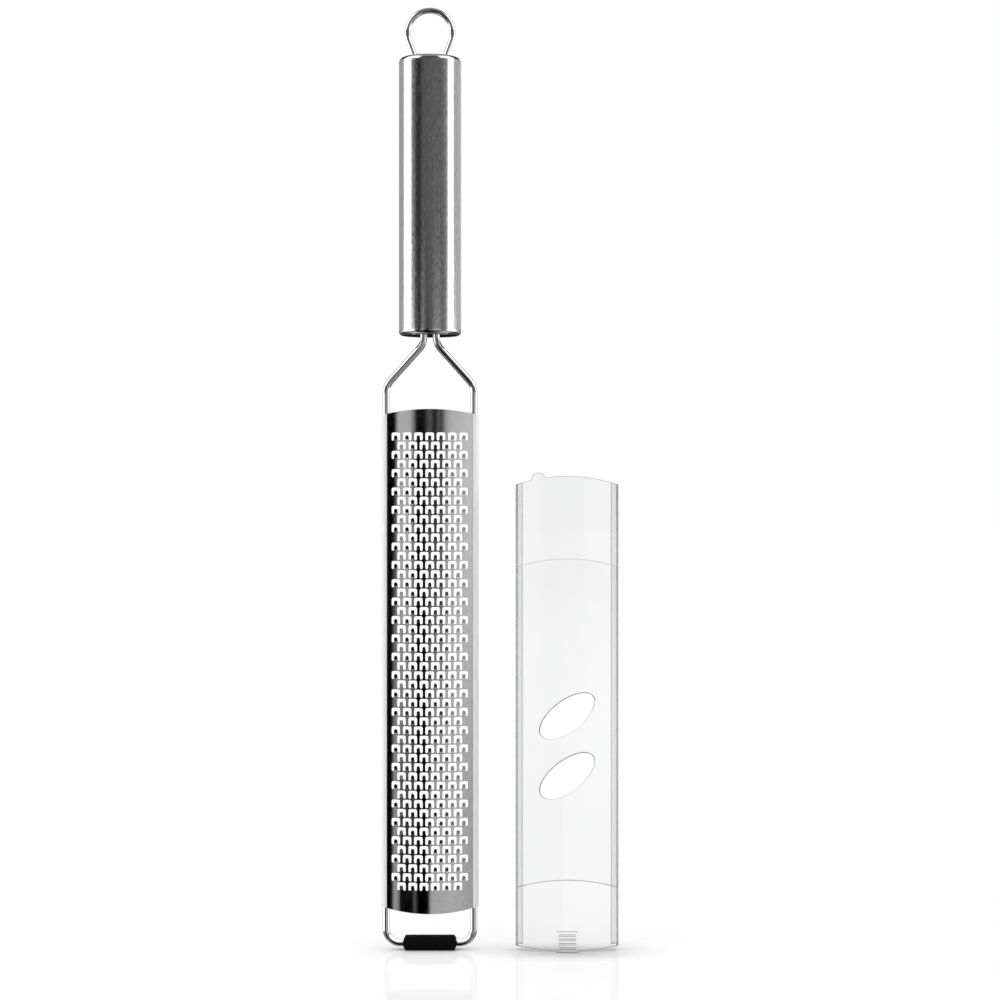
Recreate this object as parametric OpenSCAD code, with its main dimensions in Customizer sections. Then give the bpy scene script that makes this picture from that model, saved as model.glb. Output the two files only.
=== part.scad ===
// Flat hand grater with its slide-on blade cover, standing upright on the grater's foot.
// Millimetres, +Z up. The grating face looks towards -Y and the wires lie in the plane Y = 0.
// The origin is the middle of the foot's underside.

/* [Handle] */
// Outer diameter of the round handle
handle_d = 22; // [18:0.5:30]
// Length of the handle, over both end caps
handle_len = 98; // [70:1:140]
// Wall of the handle's tube
tube_wall = 0.8; // [0.6:0.1:1.5]
// Rounding of the handle's two ends
rim_r = 2; // [1:0.25:3]
// Thickness of an end cap's flat plate
cap_plate = 1; // [0.8:0.1:1.8]
// Depth of the collar that an end cap pushes into the tube
cap_collar = 4; // [2:0.5:8]

/* [Hanging loop] */
// Diameter of the loop's wire
loop_wire_d = 2; // [1.5:0.1:3]
// Diameter of the loop, along the middle of its wire
loop_d = 15.9; // [12:0.1:18]
// Height of the loop's centre above the handle
loop_rise = 8.9; // [6.5:0.1:11]
// Distance of each leg from the centreline, where it enters the handle
loop_leg_x = 5.2; // [4:0.1:7]
// Length of each leg inside the handle
loop_leg_in = 6; // [3:0.5:10]

/* [Wire frame] */
// Diameter of the frame's wire
wire_d = 2.5; // [2:0.1:3]
// Width of the bare frame, over its two side wires
frame_w = 33.4; // [30:0.2:45]
// Distance of each leg from the centreline, where it enters the handle
leg_x = 2.2; // [1.8:0.1:4]
// Length of each leg inside the handle
leg_in = 14; // [6:1:20]
// Lean of the two slanting runs, away from upright
slant = 42; // [30:1:50]
// Bend radius where a leg turns into its slanting run
neck_r = 6.5; // [3:0.5:8]
// Bend radius where a slanting run turns into a side wire
shoulder_r = 6.5; // [4:0.5:8]
// Bend radius of the two lower corners
corner_r = 4.8; // [3:0.2:6]
// Straight wire between the neck's bend and the handle
neck_gap = 0.3; // [0.2:0.1:6]

/* [Blade] */
// Length of the blade along its middle
blade_len = 177.5; // [120:0.5:220]
// Thickness of the blade's sheet
sheet_t = 0.4; // [0.3:0.05:0.6]
// Height of the blade's crown, above the line where it meets its rolled edges
crown = 2.8; // [1.5:0.1:5]
// Height of the blade's lower edge above the surface that the foot stands on
blade_lift = 13.1; // [9:0.1:20]
// Distance from the blade's upper edge to the corner of the shoulders
shoulder_gap = 8.4; // [5:0.1:20]
// Rise of the arched upper edge
top_arch = 2.3; // [0.5:0.1:3]
// Drop of the arched lower edge
bottom_arch = 2.5; // [0.5:0.1:3]
// Play between a side wire and the edge that is rolled round it
roll_play = 0.05; // [0.02:0.01:0.1]
// Angle that the slit along each rolled edge leaves open
roll_slit = 70; // [40:5:90]

/* [Teeth] */
// Number of rows of teeth
tooth_rows = 50; // [10:2:50]
// Number of teeth in a wide row; the rows between have one less
tooth_cols = 7; // [3:1:7]
// Distance between teeth across the blade
tooth_pitch = 4; // [3.8:0.05:4.1]
// Distance between rows
row_pitch = 3.23; // [3.2:0.01:3.4]
// Width of the opening in front of a tooth
opening_w = 3.1; // [2.6:0.05:3.2]
// Height of the opening in front of a tooth
opening_h = 2.95; // [2.6:0.05:3]
// Width of a tooth
tooth_w = 1.1; // [0.8:0.05:1.3]
// Length of a tooth
tooth_len = 1.9; // [1.4:0.05:2.1]
// Angle at which a tooth stands out of the blade
tooth_lift = 18; // [10:1:25]

/* [Foot] */
// Width of the rubber foot at its widest
foot_w = 19.6; // [14:0.2:24]
// Width of the foot's flat top and underside
foot_flat_w = 17.2; // [12:0.2:22]
// Height of the foot
foot_h = 4.9; // [4:0.1:7]
// Depth of the foot from front to back
foot_depth = 6.4; // [5:0.1:9]
// Depth of the foot's flat top and underside
foot_flat_depth = 4.4; // [3:0.1:5]
// Play between the wire and the foot that is moulded round it
foot_play = 0.02; // [0.01:0.01:0.05]

/* [Cover] */
// Length of the cover along its middle
cover_len = 167; // [120:1:200]
// Wall of the cover
cover_wall = 0.7; // [0.5:0.1:1.2]
// Play between the cover and the blade's rolled edges
cover_play = 0.2; // [0.1:0.05:0.5]
// Room between the tips of the teeth and the cover
tooth_room = 0.7; // [0.4:0.1:2]
// Depth of the straight inner side walls, in front of the rolled edges
side_room = 1.4; // [0.8:0.1:2]
// Width of the lips that hold the cover behind the rolled edges
lip_w = 2.5; // [1.5:0.1:4]
// Distance from the grater's centreline to the cover that stands beside it
cover_x = 48.3; // [40:0.1:80]
// Rise of the cover's arched upper edge
cover_arch = 3.1; // [1:0.1:5]
// Drop of the cover's arched lower edge
cover_sag = 1.6; // [0.5:0.1:3]

/* [Cover details] */
// Height of the raised panel's upper end
panel_top = 138.1; // [100:0.1:150]
// Height of the raised panel's lower end
panel_bottom = 25.2; // [15:0.1:50]
// How far the panel stands proud of the wall
panel_step = 0.3; // [0.2:0.05:0.6]
// Length of an oval window
window_l = 22.6; // [15:0.1:26]
// Width of an oval window
window_w = 10.8; // [6:0.1:14]
// Tilt of the windows
window_tilt = 38; // [0:1:60]
// Height of the lower window's centre
window_z = 61.8; // [45:0.1:80]
// Distance between the windows' centres
window_pitch = 21; // [18:0.1:30]
// Width of the grip tab
tab_w = 7.6; // [5:0.1:12]
// Height of the grip tab
tab_h = 7.4; // [6.6:0.2:14]
// How far the tab reaches below the lower edge
tab_foot = 0.4; // [0.2:0.1:1]
// Distance between the tab's ribs
rib_pitch = 1.5; // [1.2:0.1:2]
// Number of ribs on the tab
rib_count = 4; // [2:1:4]
// Thickness of a rib
rib_d = 0.8; // [0.7:0.1:1.1]
// Diameter of the small catch on the upper edge
catch_d = 5; // [3:0.1:6]
// Distance of the catch from the cover's centreline
catch_x = 10; // [5:0.1:12]
// How far the catch stands above the edge
catch_rise = 2.2; // [1:0.1:3]

/* [Hidden] */
$fn = 96;
// Overlap of a cutter past the surface that it opens
eps = 1;

// The side wires and the crossbar
wire_x = (frame_w - wire_d) / 2;
crossbar_z = foot_h / 2;
// The blade, its rolled edges and the sheet's curve
blade_top = blade_lift + blade_len;
roll_r = wire_d / 2 + roll_play + sheet_t;
roll_bore_r = wire_d / 2 + roll_play;
seam_y = roll_r - sheet_t / 4;
crown_r = (wire_x * wire_x + crown * crown) / (2 * crown);
crown_y = seam_y + crown;
pattern_z = (blade_lift + blade_top) / 2;
// The neck, from the shoulders' corner up to the handle
shoulder_z = blade_top + shoulder_gap;
neck_z = shoulder_z + (wire_x - leg_x) / tan(slant);
handle_z = neck_z + neck_r * tan(slant / 2) + neck_gap;
handle_top = handle_z + handle_len;
tube_bore_r = handle_d / 2 - tube_wall;
// Play that lets a cap's collar and a wire slip into their seats before they are welded
weld_play = 0.05;
// How much thicker than the wire its joints are
joint_more = 0.02;
// How far the slit of a rolled edge is turned towards the sheet
slit_turn = 10;
// Thickness of a tooth
tooth_t = 0.8 * sheet_t;
// The hanging loop
loop_r = loop_d / 2;
loop_z = handle_top + loop_rise;
leg_reach = norm([loop_leg_x, loop_rise]);
loop_start = acos(loop_r / leg_reach) - atan2(loop_rise, loop_leg_x);
corner_x = wire_x - corner_r;
loop_leg_len = sqrt(leg_reach * leg_reach - loop_r * loop_r) + loop_leg_in;
// The cover's inside follows the grater
tooth_rise = tooth_len * sin(tooth_lift);
cover_in_w = 2 * (wire_x + roll_r + cover_play);
cover_out_w = cover_in_w + 2 * cover_wall;
cover_in_crown = crown_y + tooth_rise + tooth_room;
cover_in_side = roll_r + side_room;
cover_in_sag = cover_in_crown - cover_in_side;
cover_in_r = (pow(cover_in_w / 2, 2) + pow(cover_in_sag, 2)) / (2 * cover_in_sag);
cover_arc_y = cover_in_r - cover_in_crown;
lip_y = roll_r + cover_play;
// The catch's centre, on the arched upper edge
catch_z = cover_len - cover_arch * pow(2 * catch_x / cover_out_w, 2) + catch_rise - catch_d / 2;

// Radius of an arc of width w that rises by sag
function arch_r(w, sag) = (w * w / 4 + sag * sag) / (2 * sag);

// Turns a drawing in X and Z into a plate that runs along Y, from y0 to y1
module upright(y0, y1) {
    translate([0, y1, 0]) rotate([90, 0, 0]) linear_extrude(y1 - y0) children();
}

// A sheet outline with an arched top and an arched underside
module arched(w, z0, z1, sag0, sag1) {
    r0 = arch_r(w, sag0);
    r1 = arch_r(w, sag1);
    intersection() {
        translate([-w / 2, z0]) square([w, z1 - z0]);
        union() {
            translate([0, z1 - r1]) circle(r1);
            if (z1 - r1 > z0) translate([-w, z0 - eps]) square([2 * w, z1 - r1 - z0 + eps]);
        }
        union() {
            translate([0, z0 + r0]) circle(r0);
            if (z0 + r0 < z1) translate([-w, z0 + r0]) square([2 * w, z1 - z0 - r0 + eps]);
        }
    }
}

// A straight piece of wire along +Y, with a ball at each end that the next bend grows out of
module run(length, d) {
    rotate([-90, 0, 0]) cylinder(h = length, d = d);
    for (y = [0, length]) translate([0, y, 0]) sphere(d = d + joint_more);
}

// A bend of wire that sets off along +Y and turns left, about a centre r to its left.
// What follows it goes on from its end.
module bend(r, turn, d) {
    translate([-r, 0, 0]) {
        rotate_extrude(angle = turn) translate([r, 0]) circle(d = d);
        rotate(turn) translate([r, 0, 0]) children();
    }
}

// The same bend to the right
module bend_right(r, turn, d) {
    rotate([0, 180, 0]) bend(r, turn, d) rotate([0, 180, 0]) children();
}

// One half of the frame's wire, from the end of the crossbar to its end inside the handle
module half_frame() {
    side_z = crossbar_z + corner_r;
    side_len = shoulder_z - shoulder_r * tan(slant / 2) - side_z;
    slant_len = (wire_x - leg_x) / sin(slant) - (shoulder_r + neck_r) * tan(slant / 2);
    translate([corner_x, 0, crossbar_z]) rotate([90, 0, 0]) rotate(-90) bend(corner_r, 90, wire_d) {
        run(side_len, wire_d);
        translate([0, side_len, 0]) bend(shoulder_r, slant, wire_d) {
            run(slant_len, wire_d);
            translate([0, slant_len, 0]) bend_right(neck_r, slant, wire_d) run(neck_gap + leg_in, wire_d);
        }
    }
}

module wire_frame() {
    color("silver") {
        translate([-corner_x, 0, crossbar_z]) rotate(-90) run(2 * corner_x, wire_d);
        half_frame();
        mirror([1, 0, 0]) half_frame();
    }
}

// Turns its children so that the loop's ring starts at their X axis
module ring_start() {
    translate([0, 0, loop_z]) rotate([90, 0, 0]) rotate(loop_start) children();
}

// The loop's two legs, from the ring down to their ends inside the handle
module loop_legs(d) {
    for (side = [0, 1]) mirror([side, 0, 0]) ring_start()
        translate([loop_r, 0, 0]) mirror([0, 1, 0]) run(loop_leg_len, d);
}

module hanging_loop() {
    color("silver") {
        ring_start() rotate_extrude(angle = 180 - 2 * loop_start)
            translate([loop_r, 0]) circle(d = loop_wire_d);
        loop_legs(loop_wire_d);
    }
}

module handle_tube() {
    color("lightgray") translate([0, 0, handle_z + rim_r]) difference() {
        cylinder(h = handle_len - 2 * rim_r, d = handle_d);
        translate([0, 0, -eps]) cylinder(h = handle_len - 2 * rim_r + 2 * eps, r = tube_bore_r);
    }
}

// A pressed end cap with a rounded rim, lying with its collar down and its seam at z = 0
module end_cap() {
    collar_r = tube_bore_r - weld_play;
    rotate_extrude() {
        difference() {
            union() {
                square([handle_d / 2 - rim_r, rim_r]);
                intersection() {
                    translate([handle_d / 2 - rim_r, 0]) circle(rim_r);
                    square([handle_d, rim_r]);
                }
                translate([0, -cap_collar]) square([collar_r, cap_collar]);
            }
            translate([0, -cap_collar - eps])
                square([collar_r - tube_wall, cap_collar + eps + rim_r - cap_plate]);
        }
    }
}

module top_cap() {
    color("lightgray") difference() {
        translate([0, 0, handle_top - rim_r]) end_cap();
        loop_legs(loop_wire_d + 2 * weld_play);
    }
}

module bottom_cap() {
    color("lightgray") difference() {
        translate([0, 0, handle_z + rim_r]) mirror([0, 0, 1]) end_cap();
        for (side = [-1, 1])
            translate([side * leg_x, 0, handle_z - eps])
                cylinder(h = rim_r + 2 * eps, d = wire_d + 2 * weld_play);
    }
}

// The blade's section: a crowned sheet whose edges are rolled round the side wires
module blade_section() {
    difference() {
        union() {
            intersection() {
                difference() {
                    translate([0, crown_r - crown_y]) circle(crown_r);
                    translate([0, crown_r - crown_y]) circle(crown_r - sheet_t);
                }
                translate([-wire_x, -crown_y - eps]) square([2 * wire_x, crown + sheet_t + eps]);
            }
            for (side = [-1, 1]) translate([side * wire_x, 0]) circle(roll_r);
        }
        for (side = [-1, 1]) translate([side * wire_x, 0]) {
            circle(roll_bore_r);
            intersection() {
                circle(roll_r + roll_play);
                rotate(side > 0 ? 180 + slit_turn : -slit_turn) polygon([
                    [0, 0],
                    [2 * roll_r, -2 * roll_r * tan(roll_slit / 2)],
                    [2 * roll_r, 2 * roll_r * tan(roll_slit / 2)]
                ]);
            }
        }
    }
}

// The opening round one tooth, with its upper corners cut off
module opening() {
    cut = opening_w / 4;
    x = opening_w / 2;
    z = opening_h / 2;
    polygon([[x, -z], [x, z - cut], [x - cut, z], [cut - x, z], [-x, z - cut], [-x, -z]]);
}

// One tooth: a tongue of the sheet with a pointed tip, bent out to the front at the foot of its opening
module tooth() {
    root = -sheet_t / 4;
    half = tooth_w / 2;
    neck = tooth_len - half;
    rotate([90 + tooth_lift, 0, 0]) translate([0, 0, -tooth_t / 2]) linear_extrude(tooth_t)
        polygon([[-half, root], [half, root], [half, neck], [0, tooth_len], [-half, neck]]);
}

// Centres of the teeth in one row, counted from the top, as distances from the centreline
function row_places(row) =
    let (count = tooth_cols - row % 2)
        [for (col = [0 : count - 1]) (col - (count - 1) / 2) * tooth_pitch];

// Height of one row's centre
function row_z(row) = pattern_z + ((tooth_rows - 1) / 2 - row) * row_pitch;

// The blade between two heights, with the rows of teeth from first to last in it
module blade_band(z0, z1, first, last) {
    middle_r = crown_r - sheet_t / 2;
    intersection() {
        translate([0, 0, z0]) linear_extrude(z1 - z0) blade_section();
        upright(-crown_y - eps, roll_r + eps) difference() {
            arched(2 * (wire_x + roll_r + eps), blade_lift, blade_top, bottom_arch, top_arch);
            for (row = [first : last])
                for (x = row_places(row)) translate([x, row_z(row)]) opening();
        }
    }
    for (row = [first : last])
        for (x = row_places(row))
            translate([0, crown_r - crown_y, row_z(row) - opening_h / 2])
                rotate([0, 0, asin(x / middle_r)]) translate([0, -middle_r, 0]) tooth();
}

module blade() {
    pairs = tooth_rows / 2;
    color("gainsboro") for (i = [0 : pairs - 1]) {
        low = i == pairs - 1 ? blade_lift - eps : row_z(2 * i + 1) - row_pitch / 2;
        high = i == 0 ? blade_top + eps : row_z(2 * i) + row_pitch / 2;
        blade_band(low, high, 2 * i, 2 * i + 1);
    }
}

module rubber_foot() {
    color("dimgray") difference() {
        intersection() {
            upright(-foot_depth, foot_depth) polygon([
                [-foot_flat_w / 2, 0],
                [foot_flat_w / 2, 0],
                [foot_w / 2, crossbar_z],
                [foot_flat_w / 2, foot_h],
                [-foot_flat_w / 2, foot_h],
                [-foot_w / 2, crossbar_z]
            ]);
            rotate([90, 0, 90]) translate([0, 0, -foot_w]) linear_extrude(2 * foot_w) polygon([
                [-foot_flat_depth / 2, 0],
                [foot_flat_depth / 2, 0],
                [foot_depth / 2, (foot_depth - foot_flat_depth) / 2],
                [foot_depth / 2, foot_h - (foot_depth - foot_flat_depth) / 2],
                [foot_flat_depth / 2, foot_h],
                [-foot_flat_depth / 2, foot_h],
                [-foot_depth / 2, foot_h - (foot_depth - foot_flat_depth) / 2],
                [-foot_depth / 2, (foot_depth - foot_flat_depth) / 2]
            ]);
        }
        translate([-foot_w, 0, crossbar_z]) rotate([0, 90, 0])
            cylinder(h = 2 * foot_w, d = wire_d + 2 * foot_play);
    }
}

// The space in front of the lips' inner face, under an arc that stands grow further out than the inside
module under_crown(w, grow, back) {
    intersection() {
        translate([0, cover_arc_y]) circle(cover_in_r + grow);
        translate([-w / 2, -cover_in_crown - grow - eps]) square([w, back + cover_in_crown + grow + eps]);
    }
}

// The cover's section: a crowned front, two side walls and two lips behind the rolled edges
module cover_section() {
    difference() {
        under_crown(cover_out_w, cover_wall, lip_y + cover_wall);
        under_crown(cover_in_w, 0, lip_y);
        translate([-cover_out_w / 2 + lip_w, 0])
            square([cover_out_w - 2 * lip_w, lip_y + cover_wall + eps]);
    }
}

// A skin on the cover's front, of a given width and height above the wall
module cover_skin(w, proud) {
    difference() {
        under_crown(w, cover_wall + proud, -cover_in_side);
        translate([0, cover_arc_y]) circle(cover_in_r + cover_wall / 2);
    }
}

// The two oval windows, one above the other
module windows() {
    for (z = [window_z, window_z + window_pitch])
        translate([0, z]) rotate(window_tilt) scale([window_l / window_w, 1]) circle(d = window_w);
}

// The cover's outline from the front, with the tab and the catch
module cover_outline() {
    arched(cover_out_w, tab_foot, cover_len, cover_sag, cover_arch);
    translate([-tab_w / 2, 0]) square([tab_w, tab_h]);
    translate([-catch_x, catch_z]) circle(d = catch_d);
}

// The outline of the raised panel, between two edges that both arch up
module panel_outline() {
    difference() {
        arched(cover_out_w, 0, panel_top, cover_sag, cover_arch);
        arched(cover_out_w, -cover_len, panel_bottom, cover_sag, cover_arch);
    }
}

module cover() {
    front_y = cover_in_crown + cover_wall + panel_step;
    rib_z = (tab_h - (rib_count - 1) * rib_pitch) / 2;
    color([0.93, 0.95, 0.97, 0.35]) translate([cover_x, 0, 0]) {
        intersection() {
            linear_extrude(cover_len + catch_d) cover_section();
            upright(-front_y - eps, lip_y + cover_wall + eps) difference() {
                cover_outline();
                windows();
            }
        }
        intersection() {
            linear_extrude(cover_len) cover_skin(cover_out_w - 2 * cover_wall, panel_step);
            upright(-front_y - eps, 0) difference() {
                panel_outline();
                windows();
            }
        }
        linear_extrude(tab_h) cover_skin(tab_w, panel_step);
        for (i = [0 : rib_count - 1])
            translate([rib_d - tab_w / 2, -front_y, rib_z + i * rib_pitch])
                rotate([0, 90, 0]) cylinder(h = tab_w - 2 * rib_d, d = rib_d);
    }
}

handle_tube();
top_cap();
bottom_cap();
hanging_loop();
wire_frame();
blade();
rubber_foot();
cover();
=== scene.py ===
# %% [markdown]
# # A flat hand grater with its clear cover
#
# The real tool is a long, thin steel sheet with etched teeth. The sheet is crowned, and its long edges are
# rolled round a bent wire, which ends inside a round tube handle. A rubber foot sits on the lower wire and a
# loop hangs the tool up. A clear plastic cover slides over the teeth, and here it stands beside the grater.
#
# The exact solids were made in a CAD program. This lesson gives them their looks: smooth surfaces where light
# runs along them, the fine shape of each tooth, real finishes, and a small photo studio.

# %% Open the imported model
import math

import bpy
import numpy as np
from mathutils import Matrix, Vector
from mathutils.geometry import delaunay_2d_cdt


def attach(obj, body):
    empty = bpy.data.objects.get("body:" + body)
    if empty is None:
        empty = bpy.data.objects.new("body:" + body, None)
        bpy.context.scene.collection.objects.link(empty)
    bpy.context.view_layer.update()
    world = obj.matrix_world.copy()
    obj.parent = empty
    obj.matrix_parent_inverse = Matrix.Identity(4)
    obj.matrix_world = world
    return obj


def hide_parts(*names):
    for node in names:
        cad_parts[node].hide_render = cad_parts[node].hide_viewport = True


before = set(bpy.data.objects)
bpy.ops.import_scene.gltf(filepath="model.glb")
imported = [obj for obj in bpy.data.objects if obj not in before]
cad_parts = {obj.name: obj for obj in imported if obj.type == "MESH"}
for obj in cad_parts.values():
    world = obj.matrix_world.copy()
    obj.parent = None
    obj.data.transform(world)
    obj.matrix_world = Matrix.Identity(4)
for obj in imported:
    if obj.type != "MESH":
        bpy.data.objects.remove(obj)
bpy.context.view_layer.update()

# %% [markdown]
# Sizes are written in millimetres, as on a drawing, and turned to metres where a mesh is made. They are the
# same values that the CAD source starts from, so each piece lands exactly where its solid is.

# %% Sizes of the real parts, in millimetres
MM = 0.001
HANDLE_R, HANDLE_LEN, TUBE_WALL, CAP_H = 11.0, 98.0, 0.8, 2.0
WIRE_D, WIRE_X, CROSSBAR_Z = 2.5, 15.45, 2.45
LEG_X, LEG_IN, SLANT, NECK_R, NECK_GAP = 2.2, 14.0, math.radians(42), 6.5, 0.3
SHOULDER_R, CORNER_R, SHOULDER_Z = 6.5, 4.8, 199.0
NECK_Z = SHOULDER_Z + (WIRE_X - LEG_X) / math.tan(SLANT)
HANDLE_Z = NECK_Z + NECK_R * math.tan(SLANT / 2) + NECK_GAP
HANDLE_TOP = HANDLE_Z + HANDLE_LEN
LOOP_WIRE_D, LOOP_R, LOOP_RISE, LOOP_LEG_X, LOOP_LEG_IN = 2.0, 7.95, 8.9, 5.2, 6.0
print("handle from", round(HANDLE_Z, 2), "to", round(HANDLE_TOP, 2))

# %% [markdown]
# A few small helpers serve all that follows. The first puts an object in the scene. The next two add a node,
# set its options and fill its inputs with values or links. The last two give colours: one turns the hex code
# that a designer would write to the linear values that the renderer works in, the other makes a grey.

# %% Helpers for objects, nodes and colours
scene = bpy.context.scene


def stand(name, data):
    """A new object in the scene that shows a mesh, a lamp or a camera."""
    made = bpy.data.objects.new(name, data)
    scene.collection.objects.link(made)
    return made


def fill(tree, node, inputs):
    """Fills inputs, by name or number, with values, with sockets or with the first outputs of nodes."""
    for key, value in inputs.items():
        if isinstance(value, bpy.types.Node):
            value = value.outputs[0]
        if isinstance(value, bpy.types.NodeSocket):
            tree.links.new(value, node.inputs[key])
        else:
            node.inputs[key].default_value = value
    return node


def add_node(tree, kind, inputs=None, **settings):
    """Adds one node with its options and inputs."""
    node = tree.nodes.new(kind)
    for key, value in settings.items():
        setattr(node, key, value)
    return fill(tree, node, inputs or {})


def linear(code):
    """Linear colour with full alpha of an sRGB hex code such as c8c8ca."""
    parts = [int(code[i : i + 2], 16) / 255 for i in (0, 2, 4)]
    return [p / 12.92 if p <= 0.04045 else ((p + 0.055) / 1.055) ** 2.4 for p in parts] + [1.0]


def grey(level):
    """Grey of a linear level, with full alpha."""
    return [level] * 3 + [1.0]


# %% [markdown]
# ## The camera
#
# The photograph was taken from straight in front of the grating face, with upright edges that stay upright.
# That needs a level camera. It stands 0.9 m away, half way up the object, and its view is 353 mm wide there.

# %% Set up the camera
VIEW_W, VIEW_X, VIEW_Z, VIEW_DISTANCE = 353.0, 24.7, 158.6, 900.0
camera = stand("camera", bpy.data.cameras.new("camera"))
camera.location = (VIEW_X * MM, -VIEW_DISTANCE * MM, VIEW_Z * MM)
camera.rotation_euler = (math.pi / 2, 0, 0)
camera.data.lens = camera.data.sensor_width * VIEW_DISTANCE / VIEW_W
scene.camera = camera
scene.view_settings.view_transform = "Standard"

# %% [markdown]
# ## The studio
#
# Polished steel has no colour of its own to speak of: it shows the room. So the room is what gives the metal
# its stripes. Two tall light boxes stand left and right, and narrow grey cards and black flags stand near the
# camera. All of it is one world shader, which reads only the direction that a ray leaves in: a ramp of bands
# round the object for each of eight heights, from straight below to straight above. The camera sees white
# there, as in a catalogue picture. The clear plastic sees a white panel behind it, a greyer one in front, and
# dark flags beside and above it. That is how glass is photographed: where an edge bends the light away from
# the panel, it draws a dark line. Surfaces that mirror nothing are lit by an even grey.

# %% Bands of light and dark round the object
# Each pair is an angle round the object, in degrees, and a level. Some lists are named for what mirrors them.
STUDIO_GAIN, EVEN_GREY = 2.5, 0.34
OVERHEAD_BANDS = [(-180, 0.17), (180, 0.17)]
FLAG_BANDS = [(-180, 0.03), (180, 0.03)]
CEILING_BANDS = [
    (-180, 0.02), (-113, 0.03), (-104, 1), (-46, 1), (-36, 0.03), (36, 0.03), (46, 1), (104, 1), (113, 0.03),
    (180, 0.02),
]
HANDLE_BANDS = [
    (-180, 0.4), (-168, 0.4), (-164, 0.17), (-112, 0.2), (-107, 1), (-77, 1), (-70, 0.12), (-60, 0.06),
    (-48, 0.01), (-37, 0.01), (-25, 0.045), (0, 0.06), (46, 0.055), (67, 0.12), (78, 1), (95, 1), (101, 0.21),
    (150, 0.26), (164, 0.17), (168, 0.4), (180, 0.4),
]
BLADE_BANDS = [
    (-180, 0.0), (-164, 0.03), (-120, 0.3), (-108, 1), (-62, 1), (-56, 0.1), (-47, 0.1), (-44.5, 0.26),
    (-42.5, 0.0), (-34.5, 0.0), (-31.5, 0.27), (-20.5, 0.26), (-14, 0.0), (-7, 0.0), (-1.5, 0.05), (3, 0.0),
    (7, 0.05), (10, 0.03), (14.5, 0.22), (19, 0.28), (38, 0.34), (44, 0.1), (63, 0.12), (72, 1), (108, 1),
    (120, 0.3), (164, 0.03), (180, 0.0),
]
TABLE_BANDS = [
    (-180, 0.0), (-164, 0.03), (-120, 0.3), (-108, 1), (-62, 1), (-55, 0.02), (-45, 0.0), (-37.5, 0.0),
    (-35.5, 0.2), (-31.5, 0.14), (-29.5, 0.0), (-18, 0.0), (-15.5, 0.05), (-13, 0.0), (-2.5, 0.0),
    (-0.5, 0.22), (20, 0.25), (40, 0.2), (45, 0.05), (64, 0.06), (72, 1), (108, 1), (120, 0.3), (164, 0.03),
    (180, 0.0),
]
BACKDROP_BANDS = [
    (-180, 0.386), (-167, 0.386), (-158, 0.08), (-105, 0.12), (-75, 0.34), (75, 0.34), (105, 0.16),
    (158, 0.12), (167, 0.386), (180, 0.386),
]
UNDER_BANDS = [
    (-180, 0.03), (-116, 0.03), (-105, 0.16), (-70, 0.16), (-58, 0.0), (36, 0.0), (46, 0.18), (105, 0.16),
    (116, 0.03), (180, 0.03),
]
FLOOR_BANDS = [
    (-180, 0.03), (-116, 0.03), (-105, 0.16), (-65, 0.16), (-55, 0.0), (-34.5, 0.0), (-33, 0.2), (-29.5, 0.2),
    (-28, 0.0), (16, 0.02), (21, 0.16), (60, 0.2), (105, 0.16), (116, 0.03), (180, 0.03),
]
BELOW_BANDS = [
    (-180, 0.03), (-122, 0.03), (-112, 0.3), (-68, 0.3), (-60, 0.0), (60, 0.0), (68, 0.3), (112, 0.3),
    (122, 0.03), (180, 0.03),
]

# %% The room as one world shader
world = bpy.data.worlds.new("studio")
scene.world = world
world.use_nodes = True
tree = world.node_tree
tree.nodes.clear()
ray = add_node(tree, "ShaderNodeTexCoord").outputs["Generated"]
way = add_node(tree, "ShaderNodeSeparateXYZ", {0: ray})
ahead = add_node(tree, "ShaderNodeMath", {0: way.outputs["Y"], 1: -1.0}, operation="MULTIPLY")
turn = add_node(tree, "ShaderNodeMath", {0: way.outputs["X"], 1: ahead}, operation="ARCTAN2")
turn = add_node(tree, "ShaderNodeMath", {0: turn, 1: 1 / (2 * math.pi), 2: 0.5}, operation="MULTIPLY_ADD")


def picture(*layers):
    """One picture of the room. Each layer after the first takes over between two heights, in degrees."""
    for bands, *heights in layers:
        above = add_node(tree, "ShaderNodeValToRGB", {0: turn})
        ramp = above.color_ramp
        while len(ramp.elements) < len(bands):
            ramp.elements.new(0.5)
        for element, (angle, level) in zip(ramp.elements, bands):
            element.position, element.color = angle / 360 + 0.5, grey(level)
        if heights:
            low, high = (math.sin(math.radians(height)) for height in heights)
            span = {0: way.outputs["Z"], 1: low, 2: high}
            share = add_node(tree, "ShaderNodeMapRange", span, interpolation_type="SMOOTHSTEP")
            mix = {0: share, 6: below, 7: above}
            above = add_node(tree, "ShaderNodeMix", mix, data_type="RGBA").outputs[2]
        below = above
    return below


room = picture(
    [BELOW_BANDS], [FLOOR_BANDS, -48, -40], [UNDER_BANDS, -34, -25], [TABLE_BANDS, -21, -10],
    [BLADE_BANDS, -9, 1], [HANDLE_BANDS, 2, 4], [CEILING_BANDS, 14, 24], [OVERHEAD_BANDS, 50, 64],
)
panel = picture([BACKDROP_BANDS], [FLAG_BANDS, 13, 30])
path_of = add_node(tree, "ShaderNodeLightPath").outputs
white = grey(1 / STUDIO_GAIN)
depth = path_of["Diffuse Depth"]
plain = add_node(tree, "ShaderNodeMath", {0: depth, 1: 1.0}, operation="MINIMUM")
seen = room
for share, instead in (
    (path_of["Is Transmission Ray"], panel), (plain, grey(EVEN_GREY)), (path_of["Is Camera Ray"], white),
):
    seen = add_node(tree, "ShaderNodeMix", {0: share, 6: seen, 7: instead}, data_type="RGBA").outputs[2]
light = add_node(tree, "ShaderNodeBackground", {"Color": seen, "Strength": STUDIO_GAIN})
add_node(tree, "ShaderNodeOutputWorld", {"Surface": light})

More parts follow.
